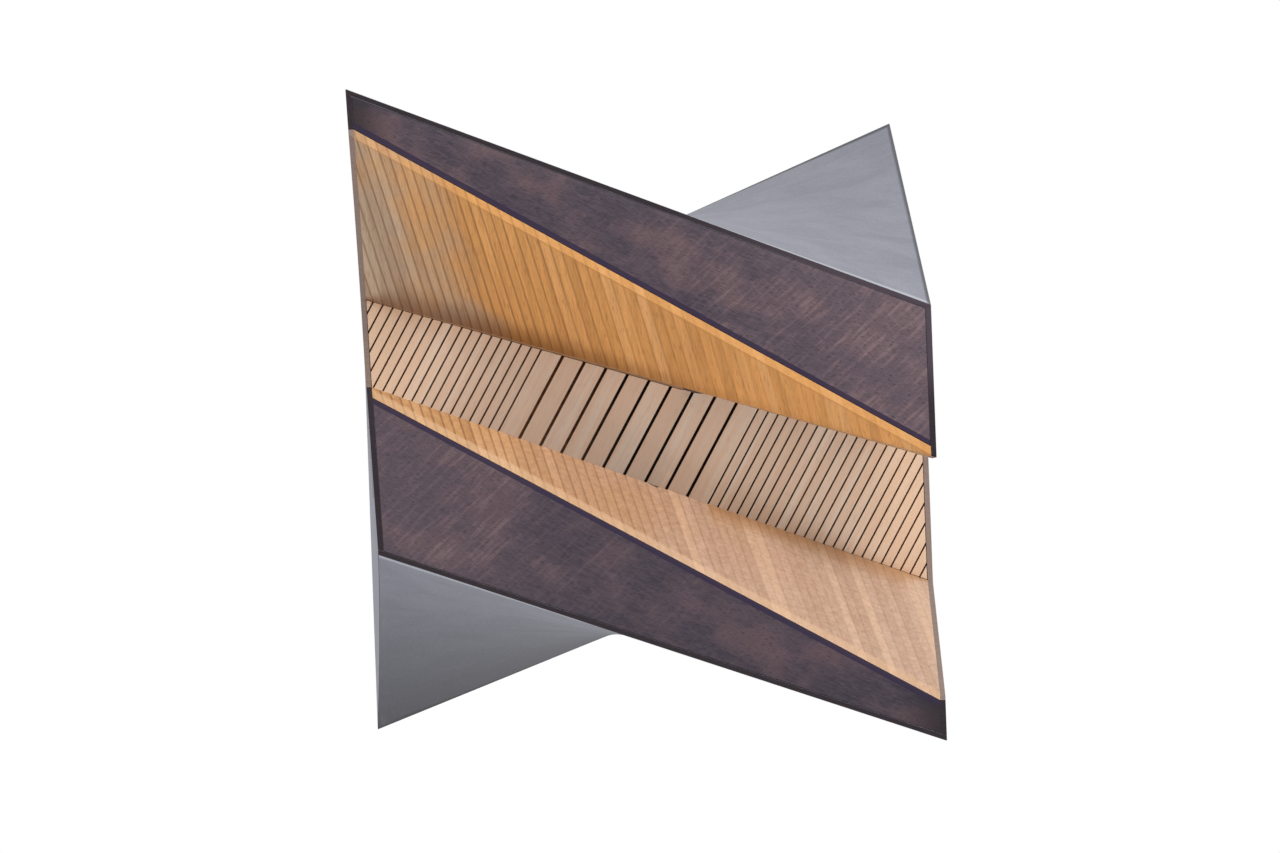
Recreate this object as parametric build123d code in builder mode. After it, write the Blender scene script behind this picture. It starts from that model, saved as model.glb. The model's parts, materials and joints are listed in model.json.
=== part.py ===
from build123d import *
import math
import os

# Bicycle wall rack: a twisted box with a slanting slot across it. The bicycle goes in tilted along
# the slot and is turned level, so that its top tube lies in a level channel behind two ridges.
# Frame: millimetres, +Z up, +X right, the wall is the plane Y = 0 and the front faces -Y. The origin
# is the middle of the back, where the wall plate is screwed on.

# Outer body: a four-sided section whose slope turns over from the front to the wall
WIDTH = 215.0            # between the outer faces of the side skins
FRONT_HEIGHT = 167.0     # height of the front face at mid-width
BACK_HEIGHT = 153.5      # height of the back at mid-width
DEPTH = 270.0            # from the wall to the front face
TOP_FALL = 88.0          # how far the front's top edge falls to the right, and the back's rises
BOTTOM_FALL = 79.0       # how far the front's bottom edge falls to the right, and the back's rises
TUCK = 6.0               # how far the front's lower left corner is drawn in
WALL_GAP = 0.5           # between the wall and the rear edges of the body

# Slot at the front face: heights of the bands, skin included
BAND_NARROW = 16.8       # of both bands at their narrow ends
UPPER_WIDE = 57.0        # of the upper band at its wide end
LOWER_WIDE = 62.5        # of the lower band at its wide end

# Slot inside
SLOT_DEPTH = 60.0        # from the front face to the strips at the back of the slot
RIDGE_RISE = 58.0        # of the high ridge end above the slot's middle, and of the low one below
SLOT_DROP = 6.0          # the slot's back lies this much lower than the body's middle
TUBE = 25.4              # diameter of the usual one inch top tube
TUBE_PLAY_HEIGHT = 7.6   # room above the tube in the level channel, between its two liners
TUBE_PLAY_DEPTH = 4.6    # room in front of the tube in the level channel
LINER = 2.0              # thickness of the seat liners

# Sheet and board thicknesses
SKIN = 2.0               # outer skins, measured upright or across
BAND = 6.0               # front bands
FACING = 2.0             # oak facings
STRIP = 4.0              # strips at the back of the slot
WALL_BOARD = 18.0        # board behind the strips
BOARD = 15.0             # carcass boards
BACK_PANEL = 12.0

# Strips at the back of the slot, narrow at both ends and wide in the middle
NARROW_STRIP = 4.4       # from joint to joint, level
WIDE_STRIP = 9.6         # from joint to joint, level
WIDE_COUNT = 10          # wide strips
WIDE_MIDDLE = -10.0      # middle of the wide strips, across the slot at its middle height
NARROW_JOINT = 0.7       # width of the dark joints beside the narrow strips
WIDE_JOINT = 1.3         # width of the dark joints between the wide strips
LEAN = 30.0              # of the joints, degrees from upright
STRIP_CLEARANCE = 0.2    # between the strips and the jaws or skins

# Wall plate and hanger, folded from steel sheet
STEEL = 3.0              # sheet thickness of both
BEND = 2.8               # radius of the folds, along the middle of the sheet
SHEET_CORNER = 5.0       # radius of the free corners
WALL_HOLE_RADIUS = 2.75
WALL_HOLE_SPACING_X = 64.0
WALL_HOLE_SPACING_Z = 24.0
PLATE_EDGE = 12.0        # from the hole centres to the plate's lower and side edges
HOOK_HEIGHT = 14.0       # of the hook lip above its web
HOOK_STANDOFF = 6.5      # from the wall to the hook lip
HANGER_INSET = 2.0       # how much narrower the hanger is than the plate, at each end
HANGER_HEIGHT = 30.0
HANGER_ROOM = 4.0        # between the hanger and the top board
HANG_CLEARANCE = 0.3     # between the hanger's web and the hook
FRONT_CLEARANCE = 1.5    # between the hook and the hanger's flange
LIP_CLEARANCE = 1.8      # between the hanger's lip and the plate's web below it

# Wood screws and dowels
SCREW_RADIUS = 2.0
SCREW_HEAD_RADIUS = 4.0
SCREW_HEAD = 2.4         # depth of the countersunk heads
SCREW_SINK = 0.2         # how far the heads lie below the surface
DRIVE_RADIUS = 1.3       # of the recess for the driver
DRIVE_DEPTH = 1.4
JAW_SCREW_GRIP = 30.0    # length inside the jaw
CARCASS_SCREW = 50.0
PANEL_SCREW = 38.0
HANGER_SCREW = 12.0
DOWEL_RADIUS = 4.0
DOWEL_IN_BOARD = 13.0
DOWEL_IN_JAW = 24.0
JAW_SCREW_X = 62.0       # of the outer screws, from the middle
DOWEL_X = 31.0
CARCASS_SCREW_INSET = 25.0   # of the carcass screws below or above the skins
PANEL_SCREW_Z = 40.0         # of the back panel screws above and below the side's middle
HANGER_SCREW_INSET = 10.0    # from the hanger's ends
HANGER_SCREW_RISE = 7.0      # above the hanger's lower edge

EXTRA = 20.0             # how far cutters reach past what they cut

# Places worked out from the sizes
HALF = WIDTH / 2
FRONT = -DEPTH
BACK = -WALL_GAP
SLOT_BACK = FRONT + SLOT_DEPTH
BOARD_FRONT = SLOT_BACK + STRIP
BOARD_BACK = BOARD_FRONT + WALL_BOARD
SEAT_HEIGHT = TUBE + TUBE_PLAY_HEIGHT
SEAT_FRONT = SLOT_BACK - TUBE - TUBE_PLAY_DEPTH
SEAT_TOP = SEAT_HEIGHT / 2 - SLOT_DROP
SEAT_BOTTOM = -SEAT_HEIGHT / 2 - SLOT_DROP
INNER = HALF - SKIN
PANEL_BACK = -(HOOK_STANDOFF + STEEL + FRONT_CLEARANCE + STEEL)
PANEL_FRONT = PANEL_BACK - BACK_PANEL


def from_front(front, back, y):
    """Value at depth y of what changes evenly from the front face to the wall."""
    return front + (back - front) * (1 + y / DEPTH)


def top(x, y, inset=0.0):
    """Height of the twisted top face, or of a surface that lies inset below it."""
    half_height = from_front(FRONT_HEIGHT, BACK_HEIGHT, y) / 2
    return half_height - inset + from_front(-TOP_FALL, TOP_FALL, y) * x / WIDTH


def bottom(x, y, inset=0.0):
    """Height of the twisted bottom face, or of a surface that lies inset above it."""
    half_height = from_front(FRONT_HEIGHT, BACK_HEIGHT, y) / 2
    return inset - half_height + from_front(-BOTTOM_FALL, BOTTOM_FALL, y) * x / WIDTH


CORNER_HIGH = top(-HALF, FRONT)
CORNER_LOW = bottom(-HALF, FRONT)


def left(y, z, inset=0.0):
    """Place across the rack of the left face, or of a surface that lies inset to its right."""
    down_share = (CORNER_HIGH - z) / (CORNER_HIGH - CORNER_LOW)
    return inset - HALF + from_front(TUCK, 0, y) * down_share


# Heights of the slot's corners, at the left and right ends of the front face and at its back
CEILING_LEFT = top(-HALF, FRONT, BAND_NARROW)
CEILING_RIGHT = top(HALF, FRONT, UPPER_WIDE)
FLOOR_LEFT = bottom(-HALF, FRONT, LOWER_WIDE)
FLOOR_RIGHT = bottom(HALF, FRONT, BAND_NARROW)
RIDGE_HIGH = RIDGE_RISE - SLOT_DROP
RIDGE_LOW = -RIDGE_RISE - SLOT_DROP


def upper_ridge(x):
    """Height of the upper ridge, from the front's right end up to the slot's back at the left."""
    return CEILING_RIGHT + (RIDGE_HIGH - CEILING_RIGHT) * (HALF - x) / WIDTH


def lower_ridge(x):
    """Height of the lower ridge, from the front's left end down to the slot's back at the right."""
    return FLOOR_LEFT + (RIDGE_LOW - FLOOR_LEFT) * (HALF + x) / WIDTH


def ceiling(x, y):
    """Height of the slanted triangular face above the slot."""
    across = (CEILING_RIGHT - CEILING_LEFT) * (HALF + x) / WIDTH
    return CEILING_LEFT + across + (RIDGE_HIGH - CEILING_LEFT) * (y - FRONT) / SLOT_DEPTH


def floor(x, y):
    """Height of the slanted triangular face below the slot."""
    across = (FLOOR_RIGHT - FLOOR_LEFT) * (HALF + x) / WIDTH
    return FLOOR_LEFT + across + (RIDGE_LOW - FLOOR_RIGHT) * (y - FRONT) / SLOT_DEPTH


# The hanger fits under the top board's lower end, and the plate's hook under the hanger
PLATE_WIDTH = WALL_HOLE_SPACING_X + 2 * PLATE_EDGE
PLATE_LOW = -WALL_HOLE_SPACING_Z / 2 - PLATE_EDGE
HANGER_WIDTH = PLATE_WIDTH - 2 * HANGER_INSET
HANGER_TOP = top(-HANGER_WIDTH / 2, BACK, SKIN + BOARD) - HANGER_ROOM
HANGER_LOW = HANGER_TOP - HANGER_HEIGHT
HANGER_BACK = PANEL_BACK + STEEL
HANGER_SCREW_X = HANGER_WIDTH / 2 - HANGER_SCREW_INSET
HOOK_TOP = HANGER_TOP - STEEL - HANG_CLEARANCE
HOOK_WEB = HOOK_TOP - HOOK_HEIGHT
LIP_LOW = HOOK_WEB + LIP_CLEARANCE


def plane_of(height):
    """Plane whose height is the given function of x and y, with its normal upward."""
    start = Vector(0, FRONT, height(0, FRONT))
    right = Vector(1, FRONT, height(1, FRONT)) - start
    back = Vector(0, FRONT + 1, height(0, FRONT + 1)) - start
    return Plane(origin=start, x_dir=right, z_dir=right.cross(back))


CEILING_PLANE = plane_of(ceiling)
FLOOR_PLANE = plane_of(floor)
UPPER_RIDGE_PLANE = plane_of(lambda x, y: upper_ridge(x))
LOWER_RIDGE_PLANE = plane_of(lambda x, y: lower_ridge(x))
CEILING_BACKING = CEILING_PLANE.offset(FACING)
FLOOR_BACKING = FLOOR_PLANE.offset(-FACING)


def upright_plane(y):
    """Plane across the rack at depth y: its own x is X, its own y is Z, and it faces the front."""
    return Plane.XZ.offset(-y)


def down_from_top(inset):
    return lambda x, y: top(x, y, inset)


def up_from_bottom(inset):
    return lambda x, y: bottom(x, y, inset)


def level(z):
    return lambda x, y: z


def ruled(section, y_front, y_back):
    """Ruled solid in the open part, between the sections that section(y) gives at two depths."""
    ends = []
    for y in (y_front, y_back):
        with BuildSketch(upright_plane(y)) as end:
            Polygon(*section(y), align=None)
        ends.append(end.sketch)
    loft(ends, ruled=True)


def beside_left(inset, x_far):
    """Solid from the surface that lies inset from the left face to a place across the rack."""
    with BuildPart() as cutter:
        ruled(
            lambda y: ((left(y, -REACH, inset), -REACH), (x_far, -REACH),
                       (x_far, REACH), (left(y, REACH, inset), REACH)),
            FRONT - EXTRA, BACK + EXTRA,
        )
    return cutter.part


def twisted(inset, low, high, y_front, y_back):
    """Solid in the open part, inset from both sides, between two heights and two depths."""
    x_left, x_right = -HALF - EXTRA, HALF - inset
    ruled(
        lambda y: ((x_left, low(x_left, y)), (x_right, low(x_right, y)),
                   (x_right, high(x_right, y)), (x_left, high(x_left, y))),
        y_front, y_back,
    )
    add(beside_left(inset, -HALF - 2 * EXTRA), mode=Mode.SUBTRACT)


def left_sheet(inset, thickness, low, high, y_front, y_back):
    """Sheet in the open part that lies inset from the left face."""
    twisted(inset, low, high, y_front, y_back)
    add(beside_left(inset + thickness, HALF + EXTRA), mode=Mode.SUBTRACT)


def right_sheet(inset, thickness, low, high, y_front, y_back):
    """Sheet in the open part that lies inset from the right face."""
    twisted(inset, low, high, y_front, y_back)
    block(-HALF - 2 * EXTRA, HALF - inset - thickness, FRONT - EXTRA, EXTRA, -REACH, REACH,
          mode=Mode.SUBTRACT)


def block(x_left, x_right, y_front, y_back, z_low, z_high, mode=Mode.ADD):
    """Box in the open part, given by its faces."""
    with BuildSketch(Plane.XY.offset(z_low)) as base:
        with Locations(((x_left + x_right) / 2, (y_front + y_back) / 2)):
            Rectangle(x_right - x_left, y_back - y_front)
    extrude(base.sketch, amount=z_high - z_low, mode=mode)


def keep_above(plane):
    split(bisect_by=plane, keep=Keep.TOP)


def keep_below(plane):
    split(bisect_by=plane, keep=Keep.BOTTOM)


def finish(piece, label):
    """Label a finished piece and write it."""
    piece.part.label = label
    export_step(piece.part, f"parts/{label}.step")


os.makedirs("parts", exist_ok=True)

REACH = FRONT_HEIGHT + TOP_FALL


def cut_upper_seat():
    """Clear the open part below the upper liner's back, where the tube lies and turns."""
    block(-HALF - EXTRA, HALF + EXTRA, SEAT_FRONT, BOARD_FRONT,
          -REACH, SEAT_TOP + LINER, mode=Mode.SUBTRACT)


def cut_lower_seat():
    """Clear the open part above the lower liner's back, where the tube lies and turns."""
    block(-HALF - EXTRA, HALF + EXTRA, SEAT_FRONT, BOARD_FRONT,
          SEAT_BOTTOM - LINER, REACH, mode=Mode.SUBTRACT)


def shape_upper_jaw(face):
    """Keep what lies above the slot, with the given plane as its slanted face."""
    keep_above(face)
    keep_above(UPPER_RIDGE_PLANE)
    cut_upper_seat()


def shape_lower_jaw(face):
    """Keep what lies below the slot, with the given plane as its slanted face."""
    keep_below(face)
    keep_below(LOWER_RIDGE_PLANE)
    cut_lower_seat()


# Everything above the slot and everything below it, and the space between for the side skins
with BuildPart() as above_slot:
    block(-HALF - EXTRA, HALF + EXTRA, FRONT - EXTRA, SLOT_BACK, -REACH, REACH)
    shape_upper_jaw(CEILING_PLANE)

with BuildPart() as below_slot:
    block(-HALF - EXTRA, HALF + EXTRA, FRONT - EXTRA, SLOT_BACK, -REACH, REACH)
    shape_lower_jaw(FLOOR_PLANE)

with BuildPart() as slot_space:
    block(-HALF - EXTRA, HALF + EXTRA, FRONT - EXTRA, SLOT_BACK, -REACH, REACH)
    add(above_slot.part, mode=Mode.SUBTRACT)
    add(below_slot.part, mode=Mode.SUBTRACT)


# Screws and dowels, each along its own +Z with its origin at the surface that it goes in through

def screw_body(length, mouth):
    """Head, shank and point turned in the open part, with the head's top or mouth at a height."""
    with BuildSketch(Plane.XZ) as profile:
        Polygon(
            (0, mouth),
            (SCREW_HEAD_RADIUS, mouth),
            (SCREW_HEAD_RADIUS, -SCREW_SINK),
            (SCREW_RADIUS, -SCREW_SINK - SCREW_HEAD),
            (SCREW_RADIUS, -length + 2 * SCREW_RADIUS),
            (0, -length),
            align=None,
        )
    revolve(profile.sketch, axis=Axis.Z)


def wood_screw(length):
    """Countersunk wood screw with a round driver recess."""
    with BuildPart() as screw:
        screw_body(length, -SCREW_SINK / 2)
        Cylinder(DRIVE_RADIUS, DRIVE_DEPTH, align=(Align.CENTER, Align.CENTER, Align.MAX),
                 mode=Mode.SUBTRACT)
    return screw.part


def screw_hole(length):
    """The space that a screw of the same length fills, open to the surface above its head."""
    with BuildPart() as hole:
        screw_body(length, SCREW_HEAD_RADIUS / 2)
    return hole.part


def dowel():
    with BuildPart() as pin:
        Cylinder(DOWEL_RADIUS, DOWEL_IN_BOARD + DOWEL_IN_JAW,
                 align=(Align.CENTER, Align.CENTER, Align.MAX))
        chamfer(pin.edges().filter_by(GeomType.CIRCLE), length=DOWEL_RADIUS / 5)
    return pin.part


def placed(piece, places):
    """Copies of a piece at the given planes."""
    return [place.from_local_coords(piece) for place in places]


def facing_wall(x, y, z):
    return Plane(origin=(x, y, z), z_dir=(0, 1, 0))


def facing_front(x, y, z):
    return Plane(origin=(x, y, z), z_dir=(0, -1, 0))


def upper_middle(x, reach):
    """Height halfway up the upper jaw's wood, where a pin reaching into it stays inside."""
    tip = BOARD_FRONT - reach
    lowest = max(ceiling(x, tip), upper_ridge(x), SEAT_TOP + LINER)
    return (lowest + top(x, BOARD_BACK, SKIN + BOARD)) / 2


def lower_middle(x, reach):
    """The same in the lower jaw."""
    tip = BOARD_FRONT - reach
    highest = min(floor(x, tip), lower_ridge(x), SEAT_BOTTOM - LINER)
    return (highest + bottom(x, BOARD_BACK, SKIN + BOARD)) / 2


SCREW_XS = (-JAW_SCREW_X, 0, JAW_SCREW_X)
DOWEL_XS = (-DOWEL_X, DOWEL_X)
DOWEL_BACK = BOARD_FRONT + DOWEL_IN_BOARD
JAW_SCREW = WALL_BOARD + JAW_SCREW_GRIP
upper_screw_places = [
    facing_wall(x, BOARD_BACK, upper_middle(x, JAW_SCREW_GRIP)) for x in SCREW_XS
]
lower_screw_places = [
    facing_wall(x, BOARD_BACK, lower_middle(x, JAW_SCREW_GRIP)) for x in SCREW_XS
]
upper_dowel_places = [facing_wall(x, DOWEL_BACK, upper_middle(x, DOWEL_IN_JAW)) for x in DOWEL_XS]
lower_dowel_places = [facing_wall(x, DOWEL_BACK, lower_middle(x, DOWEL_IN_JAW)) for x in DOWEL_XS]

SIDE_X = INNER - BOARD / 2
left_screw_x = left(BOARD_FRONT, 0, SKIN + BOARD / 2)
carcass_screw_places = []
for x in (left_screw_x, SIDE_X):
    for z in (top(x, BOARD_FRONT, SKIN + CARCASS_SCREW_INSET),
              bottom(x, BOARD_FRONT, SKIN + CARCASS_SCREW_INSET)):
        carcass_screw_places.append(facing_front(x, BOARD_FRONT, z))

# The back panel's screws are turned so that their seams cross the side boards' straight lines
PANEL_MIDDLE = (PANEL_FRONT + PANEL_BACK) / 2
panel_screw_places = []
for side in (-1, 1):
    middle = (top(side * INNER, PANEL_MIDDLE) + bottom(side * INNER, PANEL_MIDDLE)) / 2
    for z in (middle - PANEL_SCREW_Z, middle + PANEL_SCREW_Z):
        x = left(PANEL_MIDDLE, z, SKIN) if side < 0 else INNER
        place = Plane(origin=(x, PANEL_MIDDLE, z), x_dir=(0, 1, 1), z_dir=(side, 0, 0))
        panel_screw_places.append(place)

hanger_screw_places = [
    facing_wall(side * HANGER_SCREW_X, HANGER_BACK, HANGER_LOW + HANGER_SCREW_RISE)
    for side in (-1, 1)
]

upper_screw_holes = placed(screw_hole(JAW_SCREW), upper_screw_places)
lower_screw_holes = placed(screw_hole(JAW_SCREW), lower_screw_places)
upper_dowel_pins = placed(dowel(), upper_dowel_places)
lower_dowel_pins = placed(dowel(), lower_dowel_places)
carcass_holes = placed(screw_hole(CARCASS_SCREW), carcass_screw_places)
panel_holes = placed(screw_hole(PANEL_SCREW), panel_screw_places)
hanger_holes = placed(screw_hole(HANGER_SCREW), hanger_screw_places)


# Outer skins: grey sheet on the twisted top and bottom and on the flat sides

INNER_HEIGHTS = (up_from_bottom(SKIN), down_from_top(SKIN))

with BuildPart() as top_skin:
    twisted(0, down_from_top(SKIN), down_from_top(0), FRONT, BACK)
finish(top_skin, "top_skin")

with BuildPart() as bottom_skin:
    twisted(0, up_from_bottom(0), up_from_bottom(SKIN), FRONT, BACK)
finish(bottom_skin, "bottom_skin")

with BuildPart() as left_skin:
    left_sheet(0, SKIN, *INNER_HEIGHTS, FRONT, BACK)
    add(slot_space.part, mode=Mode.SUBTRACT)
finish(left_skin, "left_skin")

with BuildPart() as right_skin:
    right_sheet(0, SKIN, *INNER_HEIGHTS, FRONT, BACK)
    add(slot_space.part, mode=Mode.SUBTRACT)
finish(right_skin, "right_skin")


# Front bands: tapering boards above and below the slot's mouth

with BuildPart() as upper_front_band:
    twisted(SKIN, *INNER_HEIGHTS, FRONT, FRONT + BAND)
    shape_upper_jaw(CEILING_BACKING)
finish(upper_front_band, "upper_front_band")

with BuildPart() as lower_front_band:
    twisted(SKIN, *INNER_HEIGHTS, FRONT, FRONT + BAND)
    shape_lower_jaw(FLOOR_BACKING)
finish(lower_front_band, "lower_front_band")


# Facings: thin triangular sheets on the slanted faces that lead into the slot

with BuildPart() as upper_facing:
    twisted(SKIN, *INNER_HEIGHTS, FRONT, BOARD_FRONT)
    shape_upper_jaw(CEILING_PLANE)
    keep_below(CEILING_BACKING)
finish(upper_facing, "upper_facing")

with BuildPart() as lower_facing:
    twisted(SKIN, *INNER_HEIGHTS, FRONT, BOARD_FRONT)
    shape_lower_jaw(FLOOR_PLANE)
    keep_above(FLOOR_BACKING)
finish(lower_facing, "lower_facing")


# Jaw cores: the wood above and below the slot, with the level channel cut into each

with BuildPart() as upper_jaw_core:
    twisted(SKIN, *INNER_HEIGHTS, FRONT + BAND, BOARD_FRONT)
    shape_upper_jaw(CEILING_BACKING)
    add(upper_screw_holes, mode=Mode.SUBTRACT)
    add(upper_dowel_pins, mode=Mode.SUBTRACT)
finish(upper_jaw_core, "upper_jaw_core")

with BuildPart() as lower_jaw_core:
    twisted(SKIN, *INNER_HEIGHTS, FRONT + BAND, BOARD_FRONT)
    shape_lower_jaw(FLOOR_BACKING)
    add(lower_screw_holes, mode=Mode.SUBTRACT)
    add(lower_dowel_pins, mode=Mode.SUBTRACT)
finish(lower_jaw_core, "lower_jaw_core")

with BuildPart() as upper_seat_liner:
    twisted(SKIN, level(SEAT_TOP), level(SEAT_TOP + LINER), SEAT_FRONT, SLOT_BACK)
    keep_above(UPPER_RIDGE_PLANE)
finish(upper_seat_liner, "upper_seat_liner")

with BuildPart() as lower_seat_liner:
    twisted(SKIN, level(SEAT_BOTTOM - LINER), level(SEAT_BOTTOM), SEAT_FRONT, SLOT_BACK)
    keep_below(LOWER_RIDGE_PLANE)
finish(lower_seat_liner, "lower_seat_liner")


# Back of the slot: leaning strips, fanned and spread in the middle, on a dark board

def joint_line(k, z):
    """Place across the slot of joint k, counted from the middle wide strips, at height z."""
    wide = max(-WIDE_COUNT / 2, min(WIDE_COUNT / 2, k))
    level_place = WIDE_MIDDLE + wide * WIDE_STRIP + (k - wide) * NARROW_STRIP
    return level_place + (z + SLOT_DROP) * math.tan(math.radians(LEAN))


def half_joint(k):
    return (WIDE_JOINT if abs(k) < WIDE_COUNT / 2 else NARROW_JOINT) / 2


def slot_back_outline():
    """Corners of what shows at the back of the slot, a clearance inside the jaws and skins."""
    high = SEAT_TOP + LINER - STRIP_CLEARANCE
    low = SEAT_BOTTOM - LINER + STRIP_CLEARANCE
    x_left = left(SLOT_BACK, RIDGE_HIGH, SKIN + STRIP_CLEARANCE)
    x_right = INNER - STRIP_CLEARANCE
    upper_slope = (RIDGE_HIGH - CEILING_RIGHT) / WIDTH
    lower_slope = (FLOOR_LEFT - RIDGE_LOW) / WIDTH
    return (
        (x_left, upper_ridge(x_left) - STRIP_CLEARANCE),
        (HALF - (high + STRIP_CLEARANCE - CEILING_RIGHT) / upper_slope, high),
        (x_right, high),
        (x_right, lower_ridge(x_right) + STRIP_CLEARANCE),
        ((FLOOR_LEFT - low + STRIP_CLEARANCE) / lower_slope - HALF, low),
        (left(SLOT_BACK, low, SKIN + STRIP_CLEARANCE), low),
    )


STRIP_LOW = RIDGE_LOW - EXTRA / 2
STRIP_HIGH = RIDGE_HIGH + EXTRA / 2
narrow_reach = INNER - joint_line(WIDE_COUNT / 2, RIDGE_LOW)
outermost = math.ceil(WIDE_COUNT / 2 + narrow_reach / NARROW_STRIP)

with BuildPart() as slot_wall_strips:
    with BuildSketch(upright_plane(BOARD_FRONT)):
        for k in range(-outermost, outermost):
            Polygon(
                (joint_line(k, STRIP_LOW) + half_joint(k), STRIP_LOW),
                (joint_line(k + 1, STRIP_LOW) - half_joint(k + 1), STRIP_LOW),
                (joint_line(k + 1, STRIP_HIGH) - half_joint(k + 1), STRIP_HIGH),
                (joint_line(k, STRIP_HIGH) + half_joint(k), STRIP_HIGH),
                align=None,
            )
        Polygon(*slot_back_outline(), align=None, mode=Mode.INTERSECT)
    extrude(amount=STRIP)
finish(slot_wall_strips, "slot_wall_strips")

with BuildPart() as slot_wall_board:
    twisted(SKIN, *INNER_HEIGHTS, BOARD_FRONT, BOARD_BACK)
    for holes in (upper_screw_holes, lower_screw_holes, upper_dowel_pins, lower_dowel_pins,
                  carcass_holes):
        add(holes, mode=Mode.SUBTRACT)
finish(slot_wall_board, "slot_wall_board")


# Carcass: four twisted boards between the slot's wall board and the wall, and the back panel

CARCASS_HEIGHTS = (up_from_bottom(SKIN + BOARD), down_from_top(SKIN + BOARD))

with BuildPart() as left_board:
    left_sheet(SKIN, BOARD, *INNER_HEIGHTS, BOARD_BACK, BACK)
    add(carcass_holes, mode=Mode.SUBTRACT)
    add(panel_holes, mode=Mode.SUBTRACT)
finish(left_board, "left_board")

with BuildPart() as right_board:
    right_sheet(SKIN, BOARD, *INNER_HEIGHTS, BOARD_BACK, BACK)
    add(carcass_holes, mode=Mode.SUBTRACT)
    add(panel_holes, mode=Mode.SUBTRACT)
finish(right_board, "right_board")

with BuildPart() as top_board:
    twisted(SKIN + BOARD, down_from_top(SKIN + BOARD), down_from_top(SKIN), BOARD_BACK, BACK)
finish(top_board, "top_board")

with BuildPart() as bottom_board:
    twisted(SKIN + BOARD, up_from_bottom(SKIN), up_from_bottom(SKIN + BOARD), BOARD_BACK, BACK)
finish(bottom_board, "bottom_board")

with BuildPart() as back_panel:
    twisted(SKIN + BOARD, *CARCASS_HEIGHTS, PANEL_FRONT, PANEL_BACK)
    add(panel_holes, mode=Mode.SUBTRACT)
    add(hanger_holes, mode=Mode.SUBTRACT)
finish(back_panel, "back_panel")


# Wall plate: screwed to the wall, and folded out and up into a hook

def folded_sheet(width, *middle_line):
    """Steel sheet in the open part, folded along X at the inner points of its middle line."""
    with BuildSketch(Plane.YZ) as profile:
        with BuildLine():
            FilletPolyline(*middle_line, radius=BEND)
        trace(line_width=STEEL)
    extrude(profile.sketch, amount=width / 2, both=True)


def free_corners(sheet):
    """The short edges across a folded sheet, in groups from its lowest to its highest."""
    return sheet.edges().filter_by(Axis.Y).group_by(Axis.Z)


with BuildPart() as wall_plate:
    folded_sheet(
        PLATE_WIDTH,
        (-STEEL / 2, PLATE_LOW),
        (-STEEL / 2, HOOK_WEB - STEEL / 2),
        (-HOOK_STANDOFF - STEEL / 2, HOOK_WEB - STEEL / 2),
        (-HOOK_STANDOFF - STEEL / 2, HOOK_TOP),
    )
    corners = free_corners(wall_plate)
    fillet(corners[0] + corners[-1], radius=SHEET_CORNER)
    with Locations(upright_plane(-STEEL)):
        with GridLocations(WALL_HOLE_SPACING_X, WALL_HOLE_SPACING_Z, 2, 2):
            Hole(WALL_HOLE_RADIUS)
finish(wall_plate, "wall_plate")


# Hanger bracket: screwed to the back panel, and folded over the wall plate's hook

LIP_MIDDLE = -HOOK_STANDOFF / 2

with BuildPart() as hanger_bracket:
    folded_sheet(
        HANGER_WIDTH,
        (HANGER_BACK - STEEL / 2, HANGER_LOW),
        (HANGER_BACK - STEEL / 2, HANGER_TOP - STEEL / 2),
        (LIP_MIDDLE, HANGER_TOP - STEEL / 2),
        (LIP_MIDDLE, LIP_LOW),
    )
    corners = free_corners(hanger_bracket)
    fillet(corners[0] + corners[1], radius=SHEET_CORNER)
    add(hanger_holes, mode=Mode.SUBTRACT)
finish(hanger_bracket, "hanger_bracket")


# Screws and dowels

screw_groups = {
    "upper_jaw_screws": placed(wood_screw(JAW_SCREW), upper_screw_places),
    "lower_jaw_screws": placed(wood_screw(JAW_SCREW), lower_screw_places),
    "upper_jaw_dowels": upper_dowel_pins,
    "lower_jaw_dowels": lower_dowel_pins,
    "carcass_screws": placed(wood_screw(CARCASS_SCREW), carcass_screw_places),
    "back_panel_screws": placed(wood_screw(PANEL_SCREW), panel_screw_places),
    "hanger_screws": placed(wood_screw(HANGER_SCREW), hanger_screw_places),
}
for label, pieces in screw_groups.items():
    with BuildPart() as group:
        add(pieces)
    finish(group, label)
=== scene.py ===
"""Looks of the bicycle wall rack, in metres: +Z up, +X right, the wall is Y = 0, the front faces -Y."""

import json
import math
import random

import bmesh
import bpy
from mathutils import Matrix, Vector

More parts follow.
